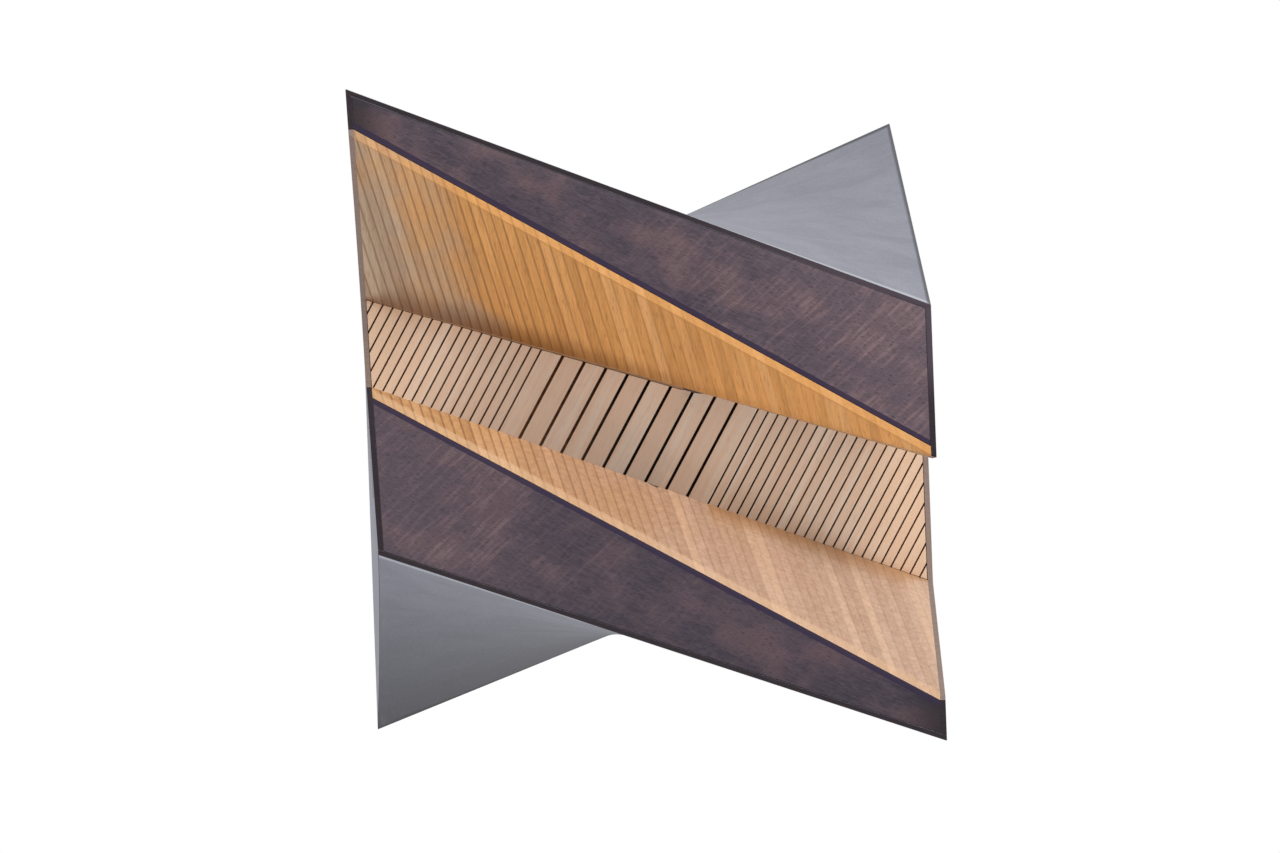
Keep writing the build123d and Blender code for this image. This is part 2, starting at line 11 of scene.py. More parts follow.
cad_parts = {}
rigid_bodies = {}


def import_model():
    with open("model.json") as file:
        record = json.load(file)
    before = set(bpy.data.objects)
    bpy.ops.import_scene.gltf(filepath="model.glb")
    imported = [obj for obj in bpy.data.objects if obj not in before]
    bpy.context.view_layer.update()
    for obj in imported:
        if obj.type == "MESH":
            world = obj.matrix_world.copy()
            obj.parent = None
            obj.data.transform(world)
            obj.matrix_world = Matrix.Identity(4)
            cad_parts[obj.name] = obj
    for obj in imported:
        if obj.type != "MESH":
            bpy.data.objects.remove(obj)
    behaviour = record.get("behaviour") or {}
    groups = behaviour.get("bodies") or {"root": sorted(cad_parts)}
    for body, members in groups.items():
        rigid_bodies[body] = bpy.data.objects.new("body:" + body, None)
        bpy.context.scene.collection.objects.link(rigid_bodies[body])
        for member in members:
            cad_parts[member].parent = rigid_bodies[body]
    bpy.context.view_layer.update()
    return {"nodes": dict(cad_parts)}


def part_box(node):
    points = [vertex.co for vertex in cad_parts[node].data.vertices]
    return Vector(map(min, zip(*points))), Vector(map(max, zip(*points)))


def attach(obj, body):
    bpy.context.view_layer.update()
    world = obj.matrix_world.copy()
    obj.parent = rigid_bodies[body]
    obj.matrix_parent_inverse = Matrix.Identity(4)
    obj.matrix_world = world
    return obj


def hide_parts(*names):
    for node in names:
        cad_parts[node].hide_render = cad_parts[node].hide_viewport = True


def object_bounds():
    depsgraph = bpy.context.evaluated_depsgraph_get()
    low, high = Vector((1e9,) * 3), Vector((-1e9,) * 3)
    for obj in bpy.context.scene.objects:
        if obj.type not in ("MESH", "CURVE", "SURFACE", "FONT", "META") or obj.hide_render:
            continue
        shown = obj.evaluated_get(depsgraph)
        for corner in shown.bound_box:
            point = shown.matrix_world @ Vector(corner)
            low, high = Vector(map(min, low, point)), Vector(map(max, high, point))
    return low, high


for left_over in list(bpy.data.objects):
    bpy.data.objects.remove(left_over)
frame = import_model()

MM = 0.001
UP, RIGHT, TO_WALL = Vector((0, 0, 1)), Vector((1, 0, 0)), Vector((0, 1, 0))
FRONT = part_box("top_skin")[0].y          # the plane of the front face
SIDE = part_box("top_skin")[1].x           # the plane of the right side
SLOT_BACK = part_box("slot_wall_strips")[0].y
JAWS = {"upper": 1, "lower": -1}         # each jaw, and which way from the slot it lies
SHARP = math.radians(25)                 # edges sharper than this are eased
FLAT = math.radians(0.05)                # faces closer than this are one flat face
ON_PLANE = 0.01 * MM                     # what lies this near to a plane is on it
NARROW_STRIP, WIDE_STRIP = 4.4 * MM, 9.6 * MM
WIDE_MIDDLE = -10 * MM                   # of the wide strips, across the slot
WIDE_REACH = 5                           # wide strips on each side of their middle
NARROW_REACH = 29                        # narrow ones beside them: more than the slot holds
STRIP_LEAN = math.radians(30)
SLOT_MIDDLE = -6 * MM                    # height of the slot's middle
LAMELLA_LEAN = math.radians(16)          # of the facings' lamellae, the other way
GROOVE = 0.35 * MM                       # depth and half width of the grooves between them
RIM = 0.8 * MM                           # depth of the facings' rim, from the front
CREASE = 1.5 * MM                        # what lies this near to a facing's crease is on it
FACING_EDGE = 4 * MM                     # height of the facings' front edge at a jaw's tip
SLOT_SLACK = 0.8 * MM                    # how near to the slot's two planes still counts as there
END_REACH = 3 * MM                       # what lies this near to an edge's end belongs to it
MOUTH_LINE = 2.1 * MM                    # width of the bands' dark line along the mouth
FRONT_SHADE, WALL_SHADE = 0.12, 0.97     # painted shade of the bottom skin, in front and behind
rng = random.Random(7)


# Materials

def tint(code):
    """Linear colour of an sRGB hex code."""
    shares = (int(code[i:i + 2], 16) / 255 for i in (0, 2, 4))
    return tuple(((s + 0.055) / 1.055) ** 2.4 for s in shares) + (1.0,)


class Nodes:
    """A node tree, with one short method for each kind of node that it uses."""

    def __init__(self, owner):
        owner.use_nodes = True
        self.tree = owner.node_tree

    def feed(self, socket, value):
        if isinstance(value, bpy.types.NodeSocket):
            self.tree.links.new(value, socket)
        else:
            socket.default_value = value

    def node(self, kind, inputs, **settings):
        made = self.tree.nodes.new("ShaderNode" + kind)
        for name, value in settings.items():
            setattr(made, name, value)
        for name, value in inputs.items():
            self.feed(made.inputs[name], value)
        return made

    def calc(self, operation, *values):
        inputs = dict(enumerate(values))
        return self.node("Math", inputs, operation=operation).outputs[0]

    def seen_directly(self):
        """1 where the camera looks, straight or by way of something shiny or clear."""
        path = self.node("LightPath", {}).outputs
        indirect = self.calc("MAXIMUM", path["Is Glossy Ray"], path["Is Transmission Ray"])
        return self.calc("MAXIMUM", path["Is Camera Ray"], indirect)

    def mix_shaders(self, share, first, second):
        inputs = {0: share, 1: first, 2: second}
        return self.node("MixShader", inputs).outputs["Shader"]


class Surface(Nodes):
    """A material's node tree around its one shader."""

    def __init__(self, name):
        self.material = bpy.data.materials.new(name)
        super().__init__(self.material)
        self.shader = self.tree.nodes["Principled BSDF"]

    def place(self, size, turn=(0, 0, 0)):
        """Object coordinates, turned by degrees and measured in units of size, in millimetres."""
        turned = {
            "Vector": self.node("TexCoord", {}).outputs["Object"],
            "Rotation": [math.radians(a) for a in turn],
            "Scale": [s * MM for s in size],
        }
        return self.node("Mapping", turned, vector_type="TEXTURE").outputs["Vector"]

    def coordinate(self, axis):
        """One object coordinate, X, Y or Z, in millimetres."""
        vector = self.node("TexCoord", {}).outputs["Object"]
        return self.calc("DIVIDE", self.node("SeparateXYZ", {"Vector": vector}).outputs[axis], MM)

    def noise(self, vector, detail=4.0, rough=0.5, bend=0.0):
        inputs = {"Vector": vector, "Scale": 1.0, "Detail": detail, "Roughness": rough,
                  "Distortion": bend}
        return self.node("TexNoise", inputs).outputs["Fac"]

    def remap(self, value, low, high, to_low=0.0, to_high=1.0):
        inputs = {"Value": value, "From Min": low, "From Max": high, "To Min": to_low,
                  "To Max": to_high}
        return self.node("MapRange", inputs, interpolation_type="SMOOTHSTEP").outputs[0]

    def blend(self, share, first, second):
        """From the first colour to the second one, by their sockets in a colour Mix node."""
        inputs = {0: share, 6: first, 7: second}
        return self.node("Mix", inputs, data_type="RGBA").outputs[2]

    def mark(self, name):
        """What the mesh says at each point about itself, such as its tone."""
        return self.node("Attribute", {}, attribute_name=name).outputs["Fac"]

    def relief(self, *layers):
        """Bumps on one another, each a height from 0 to 1 and its depth in millimetres."""
        normal = None
        for height, depth in layers:
            inputs = {"Height": height, "Distance": depth * MM, "Strength": 1.0}
            if normal:
                inputs["Normal"] = normal
            normal = self.node("Bump", inputs).outputs["Normal"]
        self.feed(self.shader.inputs["Normal"], normal)

    def finish(self, colour, roughness, **plain):
        self.feed(self.shader.inputs["Base Color"], colour)
        self.feed(self.shader.inputs["Roughness"], roughness)
        for name, value in plain.items():
            self.shader.inputs[name.replace("_", " ")].default_value = value
        return self.material


def grey_laminate():
    """Cloudy grey laminate on a dark core, which is "bare" of stain beside the slot.

    The skins marked "lid" have a painted highlight at the front and painted shade by the wall and
    sides.
    """
    s = Surface("grey_laminate")
    cloud = s.noise(s.place((26, 26, 26)), detail=3.0, rough=0.6, bend=0.6)
    speck = s.noise(s.place((1.1, 1.1, 1.1)), detail=3.0, rough=0.7)
    brushed = s.noise(s.place((30, 1.2, 30), turn=(0, 0, 24)), detail=3.0)
    face = s.blend(s.remap(cloud, 0.3, 0.7), tint("8d8e99"), tint("999aa5"))
    face = s.blend(s.remap(speck, 0.35, 0.75, 0.0, 0.3), face, tint("797b86"))
    face = s.blend(s.remap(brushed, 0.45, 0.8, 0.0, 0.2), face, tint("a6a7b0"))
    # painted shade: the bottom skin darkens from the front to the wall
    face = s.blend(s.mark("shade"), face, tint("4b4b53"))
    x, y, z = (s.coordinate(axis) for axis in "XYZ")
    # painted shade along the lid skins' side edges and wall edge
    side_edge_shade = s.remap(s.calc("ABSOLUTE", x), SIDE / MM - 1.9, SIDE / MM - 0.7, 0.0, 0.7)
    wall_edge_shade = s.remap(y, -7.0, -3.0, 0.0, 0.8)
    border = s.calc("MULTIPLY", s.calc("MAXIMUM", side_edge_shade, wall_edge_shade), s.mark("lid"))
    # painted highlight along the lid skins' front edge
    front_highlight = s.calc("MULTIPLY", s.remap(y, FRONT / MM + 2.5, FRONT / MM + 4.5, 0.55, 0.0),
                      s.mark("lid"))
    face = s.blend(front_highlight, face, tint("d4d6dc"))
    # lay on the painted shade at the sides and the wall
    face = s.blend(border, face, tint("2b2930"))
    fuzz = s.noise(s.place((4, 4, 0.5)))
    core = s.blend(fuzz, tint("1d161c"), tint("33292f"))
    # the core is paler towards the upper right
    paler_up_right = s.calc("MULTIPLY", s.remap(x, 0, 90, 0.0, 0.7), s.remap(z, 0, 20))
    core = s.blend(paler_up_right, core, tint("50444e"))
    core = s.blend(s.mark("bare"), core, s.blend(fuzz, tint("7d6b62"), tint("a08c82")))
    worn = s.blend(s.calc("MULTIPLY", s.mark("edge"), s.remap(cloud, 0.4, 0.6, 0.15, 0.6)),
                   face, tint("4a484e"))
    colour = s.blend(s.mark("core"), worn, core)
    s.relief((speck, 0.03), (brushed, 0.02))
    return s.finish(colour, s.remap(speck, 0.2, 0.8, 0.5, 0.66), Specular_IOR_Level=0.2)


def dark_veneer():
    """Cross-hatched purple-brown veneer, with a darker line where "line" says.

    The "side" is 1 on the upper band and -1 on the lower one, where left and right swap places.
    """
    s = Surface("dark_veneer")
    fibre = s.noise(s.place((7, 9, 1.3), turn=(0, 24, 0)), detail=6.0, rough=0.7, bend=1.4)
    patch = s.noise(s.place((30, 30, 17), turn=(0, 24, 0)), detail=3.0, rough=0.55)
    rising = s.noise(s.place((14, 9, 1.6), turn=(0, -40, 0)), detail=3.0, rough=0.55)
    falling = s.noise(s.place((9, 9, 1.6), turn=(0, 50, 0)), detail=2.0, rough=0.5)
    scratch = s.noise(s.place((9, 9, 0.5), turn=(0, -46, 0)), detail=3.0, rough=0.6)
    pore = s.noise(s.place((2.2, 1, 0.3), turn=(0, 24, 0)), detail=2.0, rough=0.5)
    x = s.calc("MULTIPLY", s.coordinate("X"), s.mark("side"))
    hatched = s.calc("MULTIPLY", s.remap(x, -20, 90, 0.18, 1.0),
                     s.remap(patch, 0.4, 0.6, 0.35, 1.0))
    colour = s.blend(s.remap(fibre, 0.3, 0.7), tint("352e39"), tint("544852"))
    colour = s.blend(s.remap(patch, 0.42, 0.68, 0.0, 0.7), colour, tint("6a5456"))
    colour = s.blend(s.remap(x, 10, 100, 0.0, 0.45), colour, tint("6f5c62"))
    colour = s.blend(s.calc("MULTIPLY", s.remap(rising, 0.44, 0.74, 0.0, 0.6), hatched), colour,
                     tint("94797a"))
    colour = s.blend(s.calc("MULTIPLY", s.remap(falling, 0.48, 0.78, 0.0, 0.3), hatched), colour,
                     tint("86717a"))
    colour = s.blend(s.remap(scratch, 0.58, 0.8, 0.0, 0.25), colour, tint("8d797e"))
    colour = s.blend(s.remap(pore, 0.54, 0.68, 0.0, 0.6), colour, tint("1f1920"))
    colour = s.blend(s.remap(x, -106, -86, 0.8, 0.0), colour, tint("1c161b"))
    colour = s.blend(s.remap(s.mark("side"), -1.0, 1.0, 0.2, 0.0), colour, tint("272430"))
    colour = s.blend(s.calc("MULTIPLY", s.mark("line"), 0.9), colour, tint("2a1f38"))
    colour = s.blend(s.calc("MULTIPLY", s.mark("edge"), 0.75), colour, tint("1d161e"))
    s.relief((pore, 0.05), (fibre, 0.04))
    return s.finish(colour, s.remap(fibre, 0.3, 0.7, 0.45, 0.6), Specular_IOR_Level=0.22)


def oak_facing(name, turning, left_tint, right_tint, crease_shade_tint, crease_side, rim_tint):
    """Oak lamellae side by side: "tone" varies them, "joint" and "rim" mark their borders.

    The left tint gives way to the right one between the two places of turning, in millimetres,
    which lie further right the nearer to the crease, where "depth" is 1. This change is partly the
    oak's colour and partly painted light: a pale reflection at the upper facing's left, orange
    bounce light at its right, and light on the lower facing's up-facing right. The crease's tint
    is painted shade, stronger to the left where crease_side is -1 and to the right where it is 1.
    """
    s = Surface(name)
    streak = s.noise(s.place((2.0, 40, 2.0), turn=(-48, 0, -12)), detail=5.0, rough=0.65, bend=0.3)
    pore = s.noise(s.place((0.35, 5, 0.35), turn=(-48, 0, -12)), detail=2.0)
    cloud = s.noise(s.place((30, 30, 30)), detail=2.0)
    x, depth = s.coordinate("X"), s.mark("depth")
    further_right = 28.0
    across = s.calc("SUBTRACT", x, s.calc("MULTIPLY", depth, further_right))
    across = s.calc("ADD", across, s.remap(cloud, 0.3, 0.7, -12.0, 12.0))
    # partly the oak's colour, partly painted light: the change from the left tint to the right one
    base = s.blend(s.remap(across, *turning), left_tint, right_tint)
    colour = s.blend(s.remap(streak, 0.3, 0.7, 0.32, 0.0), base, tint("8a5a30"))
    colour = s.blend(s.remap(s.mark("tone"), 0.0, 1.0, 0.26, 0.0), colour, tint("946238"))
    colour = s.blend(s.remap(s.mark("tone"), 0.6, 1.0, 0.0, 0.2), colour, tint("efc496"))
    # painted shade along the crease
    near = s.calc("MULTIPLY", s.remap(depth, 0.78, 1.0),
                  s.remap(s.calc("MULTIPLY", x, crease_side), -50, 50, 0.15, 0.75))
    colour = s.blend(near, colour, crease_shade_tint)
    colour = s.blend(s.remap(pore, 0.55, 0.7, 0.0, 0.35), colour, tint("7d4d24"))
    colour = s.blend(s.calc("MULTIPLY", s.mark("joint"), s.remap(x, -90, 60, 0.42, 0.06)),
                     colour, tint("5e3a20"))
    colour = s.blend(s.calc("MULTIPLY", s.mark("rim"), 0.4), colour, rim_tint)
    s.relief((pore, 0.05), (streak, 0.05))
    return s.finish(colour, s.remap(streak, 0.3, 0.7, 0.45, 0.6), Specular_IOR_Level=0.25)


def pale_strip():
    """Pale wood, one "tone" a strip, with painted shade near the slot's ends, where more light falls.
    """
    s = Surface("pale_strip")
    streak = s.noise(s.place((1.4, 4, 40), turn=(0, 30, 0)), detail=5.0, rough=0.6, bend=0.2)
    pore = s.noise(s.place((0.3, 1, 4), turn=(0, 30, 0)), detail=2.0)
    colour = s.blend(s.remap(streak, 0.3, 0.7), tint("fad6ba"), tint("ffebd6"))
    colour = s.blend(s.remap(s.mark("tone"), 0.0, 1.0, 0.0, 0.6), colour, tint("f5d2b6"))
    # painted shade near the slot's ends, against the lamps' stronger light there
    aside = s.calc("ABSOLUTE", s.coordinate("X"))
    colour = s.blend(s.remap(aside, 68, 98, 0.0, 0.7), colour, tint("dcb797"))
    colour = s.blend(s.remap(pore, 0.55, 0.75, 0.0, 0.25), colour, tint("a9815f"))
    colour = s.blend(s.calc("MULTIPLY", s.mark("edge"), 0.3), colour, tint("c79f83"))
    s.relief((pore, 0.04), (streak, 0.04))
    return s.finish(colour, s.remap(streak, 0.3, 0.7, 0.55, 0.68), Specular_IOR_Level=0.2)


def bare_wood(name, dark, light, pore_tint, size=(30, 2.0, 2.0), turn=(0, 0, 0)):
    """Plain sawn or sanded wood, its grain along the first of size."""
    s = Surface(name)
    streak = s.noise(s.place(size, turn), detail=5.0, rough=0.6, bend=0.4)
    pore = s.noise(s.place([v / 7 for v in size], turn), detail=2.0)
    colour = s.blend(s.remap(streak, 0.3, 0.7), tint(dark), tint(light))
    colour = s.blend(s.remap(pore, 0.55, 0.72, 0.0, 0.5), colour, tint(pore_tint))
    colour = s.blend(s.calc("MULTIPLY", s.mark("edge"), 0.4), colour, tint(light))
    s.relief((pore, 0.06), (streak, 0.06))
    return s.finish(colour, s.remap(streak, 0.3, 0.7, 0.55, 0.72))


def dark_board():
    """Stained board behind the strips, with painted shadow darkest about one place right of the slot's
    middle.
    """
    s = Surface("dark_board")
    streak = s.noise(s.place((30, 2.0, 2.0)), detail=5.0, rough=0.6, bend=0.4)
    pore = s.noise(s.place((4, 0.3, 0.3)), detail=2.0)
    # painted shadow: near-black about this place, the board's own brown further away
    darkest = 14.0
    away = s.calc("ABSOLUTE", s.calc("SUBTRACT", s.coordinate("X"), darkest))
    colour = s.blend(s.remap(away, 18, 52), tint("20150f"), tint("a87e5c"))
    colour = s.blend(s.remap(streak, 0.3, 0.7, 0.0, 0.5), colour, tint("4a3325"))
    colour = s.blend(s.remap(pore, 0.55, 0.72, 0.0, 0.5), colour, tint("1c120d"))
    s.relief((pore, 0.06), (streak, 0.06))
    return s.finish(colour, s.remap(streak, 0.3, 0.7, 0.6, 0.75), Specular_IOR_Level=0.2)


def plywood():
    """Birch plywood: figured faces, and plies across the thickness that "ply" tells."""
    s = Surface("carcass_board")
    plies = 9
    figure = s.noise(s.place((9, 60, 9)), detail=5.0, rough=0.6, bend=1.2)
    face = s.blend(s.remap(figure, 0.3, 0.7), tint("c9a77d"), tint("e0c49c"))
    layer = s.calc("PINGPONG", s.calc("MULTIPLY", s.mark("ply"), plies), 1.0)
    fuzz = s.noise(s.place((1.2, 1.2, 1.2)), detail=3.0)
    edge = s.blend(s.remap(layer, 0.35, 0.65), tint("a87f55"), tint("dcbd92"))
    edge = s.blend(s.remap(fuzz, 0.5, 0.8, 0.0, 0.5), edge, tint("8c6642"))
    colour = s.blend(s.mark("core"), face, edge)
    s.relief((figure, 0.05), (fuzz, 0.05))
    return s.finish(colour, s.remap(figure, 0.3, 0.7, 0.55, 0.7))


def seat_leather():
    """Brown leather with a fine grain, worn paler at its edges."""
    s = Surface("seat_leather")
    grain = s.node("TexVoronoi", {"Vector": s.place((1.1, 1.1, 1.1)), "Scale": 1.0},
                   feature="DISTANCE_TO_EDGE").outputs["Distance"]
    cloud = s.noise(s.place((12, 12, 12)), detail=3.0)
    colour = s.blend(s.remap(cloud, 0.3, 0.7), tint("4a3026"), tint("6b4735"))
    colour = s.blend(s.remap(grain, 0.0, 0.12, 0.6, 0.0), colour, tint("2c1b15"))
    colour = s.blend(s.calc("MULTIPLY", s.mark("edge"), 0.5), colour, tint("7d5844"))
    s.relief((s.remap(grain, 0.0, 0.25), 0.12))
    return s.finish(colour, s.remap(cloud, 0.3, 0.7, 0.5, 0.65))


def plated(name, dark, light, roughness):
    """Plated steel sheet or screws: cloudy, lightly scratched, brighter at its edges."""
    s = Surface(name)
    cloud = s.noise(s.place((7, 7, 7)), detail=4.0, rough=0.6)
    scratch = s.noise(s.place((24, 0.3, 0.3), turn=(0, 12, 0)), detail=2.0)
    colour = s.blend(s.remap(cloud, 0.3, 0.7), tint(dark), tint(light))
    colour = s.blend(s.calc("MULTIPLY", s.mark("edge"), 0.4), colour, tint("e6e6e4"))
    s.relief((scratch, 0.015), (cloud, 0.01))
    return s.finish(colour, s.remap(cloud, 0.3, 0.7, roughness, roughness + 0.15),
                    Metallic=1.0)


MATERIALS = {            # by slot, except for the two looks of the slot oak_facing
    "grey_laminate": grey_laminate(),
    "dark_veneer": dark_veneer(),
    # the facings' left and right tints carry painted light, their crease tints painted shade
    "upper_oak": oak_facing("upper_oak", (-110, -68), tint("c9b299"), tint("f4b26c"),
                            tint("7a4a24"), -1, tint("cf9352")),
    "lower_oak": oak_facing("lower_oak", (-75, 45), tint("deab78"), tint("e3c0a8"),
                            tint("b98655"), 1, tint("e8bd94")),
    "laminated_core": bare_wood("laminated_core", "b08a5e", "d2b186", "8a6440"),
    "seat_leather": seat_leather(),
    "pale_strip": pale_strip(),
    "dark_board": dark_board(),
    "carcass_board": plywood(),
    "zinc_steel": plated("zinc_steel", "aab0b4", "c0c4c7", 0.32),
    "screw_steel": plated("screw_steel", "a89a62", "cdbf86", 0.28),
    "beech": bare_wood("beech", "bd9264", "d8b184", "9a7048", turn=(0, 0, 90)),
}


# Pieces: each follows its CAD node, with eased edges or grooves, and marks for its material

def mark_islands(bm):
    """Give all faces of each separate solid one random tone."""
    layer = bm.faces.layers.float.new("tone")
    seen = set()
    for first in bm.faces:
        if first in seen:
            continue
        tone, waiting = rng.random(), [first]
        while waiting:
            face = waiting.pop()
            if face in seen:
                continue
            seen.add(face)
            face[layer] = tone
            waiting += [f for e in face.edges for f in e.link_faces if f not in seen]


def mark_core(bm, across):
    """Mark the faces that show a sheet's or board's edge, and the side each vertex is on."""
    core = bm.faces.layers.float.new("core")
    ply = bm.verts.layers.float.new("ply")
    for face in bm.faces:
        face[core] = 0.0 if abs(face.normal.dot(across)) > 0.7 else 1.0
    for vertex in bm.verts:
        vertex[ply] = float(any(f.normal.dot(across) > 0.7 for f in vertex.link_faces))


def ease_edges(bm, width):
    """Round the sharp edges and mark the narrow faces that this makes."""
    layer = bm.faces.layers.float.new("edge")
    sharp = [e for e in bm.edges if e.is_manifold and e.calc_face_angle() > SHARP]
    made = bmesh.ops.bevel(bm, geom=sharp, offset=width, segments=2, profile=0.5,
                           affect="EDGES", clamp_overlap=True)
    for face in made["faces"]:
        face[layer] = 1.0


def joined_mesh(node):
    """A CAD node's mesh as one closed mesh per solid, its flat faces in one piece each."""
    bm = bmesh.new()
    bm.from_mesh(frame["nodes"][node].data)
    bmesh.ops.remove_doubles(bm, verts=bm.verts, dist=0.001 * MM)
    bmesh.ops.dissolve_limit(bm, angle_limit=FLAT, verts=bm.verts, edges=bm.edges)
    return bm


def bare_beside_slot(bm, end):
    """Mark the edge that a side skin has inside the slot, and in front between the two bands."""
    lower, upper = MOUTH["lower"][end].z, MOUTH["upper"][end].z
    if end == 0:
        lower += FACING_EDGE
    else:
        upper -= FACING_EDGE
    for height in (lower, upper):
        split(bm, UP * height, UP)
    bare = bm.faces.layers.float.new("bare")
    for face in bm.faces:
        centre = face.calc_center_median()
        inside = FRONT + SLOT_SLACK < centre.y < SLOT_BACK + SLOT_SLACK
        face[bare] = float(inside or lower < centre.z < upper)


def shade_lid(bm, below):
    """Mark the top or bottom skin, and the painted shade of the bottom one from the front to the wall.
    """
    shade, lid = (bm.verts.layers.float.new(n) for n in ("shade", "lid"))
    for vertex in bm.verts:
        share = (vertex.co.y - FRONT) / -FRONT
        vertex[shade] = (FRONT_SHADE + (WALL_SHADE - FRONT_SHADE) * share) * below
        vertex[lid] = 1.0


def split(bm, point, normal):
    """Cut a mesh along a plane without taking it apart; the vertices made on the plane."""
    whole = [*bm.verts, *bm.edges, *bm.faces]
    made = bmesh.ops.bisect_plane(bm, geom=whole, dist=1e-7, plane_co=point, plane_no=normal)
    return [g for g in made["geom_cut"] if isinstance(g, bmesh.types.BMVert)]


def slot_edge(vertices, slot_side):
    """The left and right ends of an edge along the slot: each end's corner nearest the slot."""
    places = [v.co for v in vertices]
    edge = []
    for end in (min(c.x for c in places), max(c.x for c in places)):
        corners = [c for c in places if abs(c.x - end) < END_REACH]
        edge.append(min(corners, key=lambda c: c.z * slot_side).copy())
    return edge


def line_along_mouth(bm, jaw):
    """Mark the part of a band's face that runs along the slot's mouth, and the band's side."""
    first, last = MOUTH[jaw]
    slot_side = JAWS[jaw]
    inward = (last - first).cross(TO_WALL).normalized()
    if inward.z * slot_side < 0:
        inward.negate()
    point = first + inward * MOUTH_LINE
    split(bm, point, inward)
    line, side = (bm.faces.layers.float.new(n) for n in ("line", "side"))
    for face in bm.faces:
        face[line] = float((face.calc_center_median() - point).dot(inward) < 0)
        face[side] = slot_side


def lamella_borders():
    """Places across the slot, at its middle height, of the strips' joints.

    A wide strip has one more place, half way.
    """
    wide = [k * WIDE_STRIP / 2 for k in range(2 * WIDE_REACH + 1)]
    reach = wide + [wide[-1] + k * NARROW_STRIP for k in range(1, NARROW_REACH + 1)]
    return sorted(WIDE_MIDDLE + x for x in {*reach, *(-x for x in reach)})


def lamellae(bm, slot_side):
    """Part a facing into lamellae, each of which goes on from a strip of the slot's back.

    The grooves are sunk where the facing looks into the slot, and only marked in front.
    """
    front = min(v.co.y for v in bm.verts)
    left, right = slot_edge(bm.verts, slot_side)
    fall = (right.z - left.z) / (right.x - left.x)
    lean = math.tan(STRIP_LEAN)
    tone, joint, rim = (bm.faces.layers.float.new(n) for n in ("tone", "joint", "rim"))
    depth = bm.verts.layers.float.new("depth")
    sideways = Vector((math.cos(LAMELLA_LEAN), 0, math.sin(LAMELLA_LEAN)))
    split(bm, Vector((0, front + RIM, 0)), TO_WALL)
    places, grooves = [], []
    for level in lamella_borders():
        x = (level + (left.z - fall * left.x - SLOT_MIDDLE) * lean) / (1 - fall * lean)
        point = Vector((x, 0, left.z + fall * (x - left.x)))
        for offset in (-GROOVE, GROOVE):
            split(bm, point + sideways * offset, sideways)
        places.append(point.dot(sideways))
        grooves += split(bm, point, sideways)
    tones = [rng.random() for _ in range(len(places) + 1)]
    for face in bm.faces:
        centre = face.calc_center_median()
        along = centre.dot(sideways)
        face[tone] = tones[sum(along > place for place in places)]
        face[joint] = float(min(abs(along - place) for place in places) < GROOVE)
        face[rim] = float(centre.y < front + RIM)
    along_crease = (right - left).normalized()
    for vertex in bm.verts:
        away = (vertex.co - left).cross(along_crease).length
        vertex[depth] = float(away < CREASE)
    for vertex in grooves:
        if all(f.normal.z * slot_side < -0.2 for f in vertex.link_faces):
            vertex.co.z += slot_side * GROOVE


def show(bm, node, slot, body="rack", look=None):
    """Turn a finished mesh into the piece that stands for a CAD node."""
    name = node + "_look"
    mesh = bpy.data.meshes.new(name)
    bm.to_mesh(mesh)
    bm.free()
    mesh.shade_smooth()
    mesh.set_sharp_from_angle(angle=SHARP)
    mesh.materials.append(MATERIALS[look or slot])
    piece = bpy.data.objects.new(name, mesh)
    bpy.context.scene.collection.objects.link(piece)
    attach(piece, body)
    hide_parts(node)


def mouth(jaw):
    """The ends of a band's front edge along the slot."""
    band = joined_mesh(jaw + "_front_band")
    at_front = [v for v in band.verts if v.co.y < FRONT + ON_PLANE]
    ends = slot_edge(at_front, JAWS[jaw])
    band.free()
    return ends


def dress(node, slot, width=0.3, across=None, body="rack"):
    """Show a CAD node with edges eased by a width in millimetres.

    A sheet or board is thin in the direction across, and has its core marked.
    """
    bm = joined_mesh(node)
    mark_islands(bm)
    if across:
        mark_core(bm, across)
    if node in ("left_skin", "right_skin"):
        bare_beside_slot(bm, int(node == "right_skin"))
    ease_edges(bm, width * MM)
    if node in ("top_skin", "bottom_skin"):
        shade_lid(bm, node == "bottom_skin")
    show(bm, node, slot, body)


def dress_band(jaw, width=0.35):
    node = jaw + "_front_band"
    bm = joined_mesh(node)
    line_along_mouth(bm, jaw)
    ease_edges(bm, width * MM)
    show(bm, node, "dark_veneer")


def dress_facing(jaw):
    node = jaw + "_facing"
    bm = joined_mesh(node)
    lamellae(bm, JAWS[jaw])
    show(bm, node, "oak_facing", look=jaw + "_oak")


MOUTH = {jaw: mouth(jaw) for jaw in JAWS}
for node, across in (("top_skin", UP), ("bottom_skin", UP), ("left_skin", RIGHT),
                     ("right_skin", RIGHT)):
    dress(node, "grey_laminate", across=across)
for node, across in (("top_board", UP), ("bottom_board", UP), ("left_board", RIGHT),
                     ("right_board", RIGHT), ("back_panel", TO_WALL)):
    dress(node, "carcass_board", across=across)
for jaw in JAWS:
    dress_band(jaw)
    dress_facing(jaw)
for node in ("upper_jaw_core", "lower_jaw_core"):
    dress(node, "laminated_core", width=0.2)
for node in ("upper_seat_liner", "lower_seat_liner"):
    dress(node, "seat_leather", width=0.6)
dress("slot_wall_strips", "pale_strip")
dress("slot_wall_board", "dark_board")
for node in ("upper_jaw_screws", "lower_jaw_screws", "carcass_screws", "back_panel_screws",
             "hanger_screws"):
    dress(node, "screw_steel", width=0.15)
for node in ("upper_jaw_dowels", "lower_jaw_dowels"):
    dress(node, "beech", width=0.2)
dress("hanger_bracket", "zinc_steel", width=0.25)
dress("wall_plate", "zinc_steel", width=0.25, body="wall_mount")


# Stage: floor, light and the photograph's view

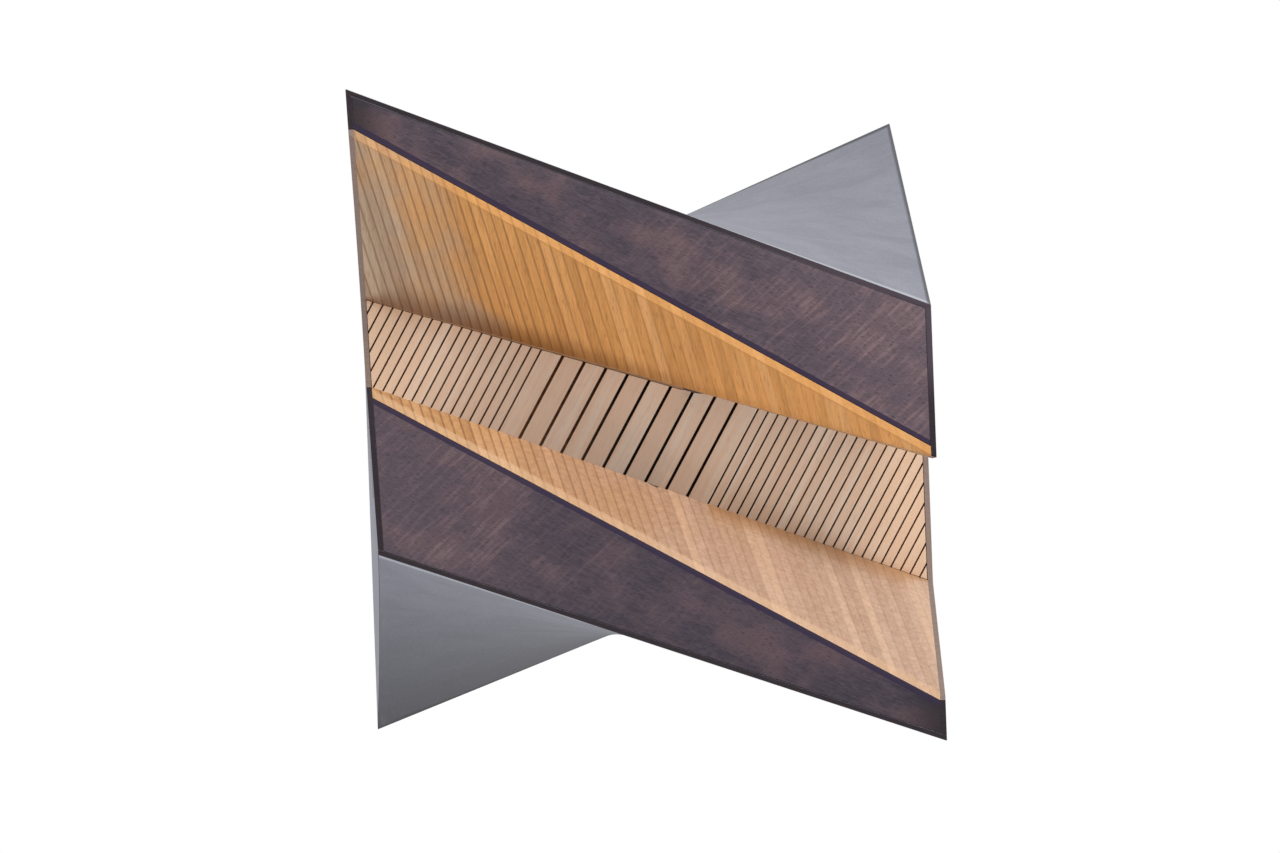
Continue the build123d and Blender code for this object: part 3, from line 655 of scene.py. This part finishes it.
FLOOR_DROP = 2.4             # of the floor below the rack's lowest corner
FLOOR_REACH = 25.0           # from the middle to each side
FLOOR_WHITE = 0.93           # share of plain white in how the floor looks
AMBIENT = 0.56               # the world's strength as a light
AIM = Vector((0.0, FRONT / 2, 0.0))      # of the camera and the lamps
CAMERA_PLACE = Vector((-0.0614, FRONT - 3.24, -0.050))
CAMERA_ROLL = math.radians(2.08)         # the rack hangs turned by this in the photograph
CAMERA_LENS = 245.0
LAMPS = {                    # each lamp's place, diameter and power
    "key": ((1.3, -1.9, 1.5), 1.2, 34.0),
    "fill": ((-1.6, -2.0, -0.2), 1.6, 17.0),
}


def white_world():
    """Soft light all round, with plain white where the camera and shiny surfaces look out."""
    world = bpy.data.worlds.new("studio")
    bpy.context.scene.world = world
    nodes = Nodes(world)
    nodes.tree.nodes.clear()
    ambient = nodes.node("Background", {"Color": (0.97, 0.98, 1.0, 1.0), "Strength": AMBIENT})
    plain = nodes.node("Background", {"Color": (1.0, 1.0, 1.0, 1.0), "Strength": 1.0})
    mixed = nodes.mix_shaders(nodes.seen_directly(), ambient.outputs[0], plain.outputs[0])
    nodes.node("OutputWorld", {"Surface": mixed})


def area_light(name, place, size, power):
    light = bpy.data.lights.new(name, "AREA")
    light.shape, light.size, light.energy = "DISK", size, power
    lamp = bpy.data.objects.new(name, light)
    lamp.location = place
    lamp.rotation_mode = "QUATERNION"
    lamp.rotation_quaternion = (AIM - Vector(place)).to_track_quat("-Z", "Y")
    bpy.context.scene.collection.objects.link(lamp)


def pale_floor():
    """A wide floor far below, mostly plain white to the camera, with the rack's soft shadow."""
    s = Surface("studio_floor")
    cloud = s.noise(s.place((400, 400, 400)))
    colour = s.blend(cloud, (0.93, 0.93, 0.93, 1.0), (0.95, 0.95, 0.95, 1.0))
    s.finish(colour, 0.9, Specular_IOR_Level=0.1)
    white = s.node("Emission", {"Strength": 1.0}).outputs["Emission"]
    share = s.calc("MULTIPLY", s.seen_directly(), FLOOR_WHITE)
    mixed = s.mix_shaders(share, s.shader.outputs["BSDF"], white)
    s.feed(s.tree.nodes["Material Output"].inputs["Surface"], mixed)
    mesh = bpy.data.meshes.new("floor")
    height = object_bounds()[0].z - FLOOR_DROP
    corners = [(x * FLOOR_REACH, y * FLOOR_REACH, height)
               for x, y in ((-1, -1), (1, -1), (1, 1), (-1, 1))]
    mesh.from_pydata(corners, [], [(0, 1, 2, 3)])
    mesh.materials.append(s.material)
    floor = bpy.data.objects.new("floor", mesh)
    bpy.context.scene.collection.objects.link(floor)


def camera():
    data = bpy.data.cameras.new("camera")
    data.lens = CAMERA_LENS
    data.clip_end = 50.0
    made = bpy.data.objects.new("camera", data)
    made.location = CAMERA_PLACE
    made.rotation_mode = "QUATERNION"
    look = (AIM - CAMERA_PLACE).to_track_quat("-Z", "Y")
    made.rotation_quaternion = look @ Matrix.Rotation(-CAMERA_ROLL, 3, "Z").to_quaternion()
    bpy.context.scene.collection.objects.link(made)
    bpy.context.scene.camera = made


white_world()
for name, (place, size, power) in LAMPS.items():
    area_light(name, place, size, power)
pale_floor()
camera()
bpy.context.scene.view_settings.view_transform = "Standard"
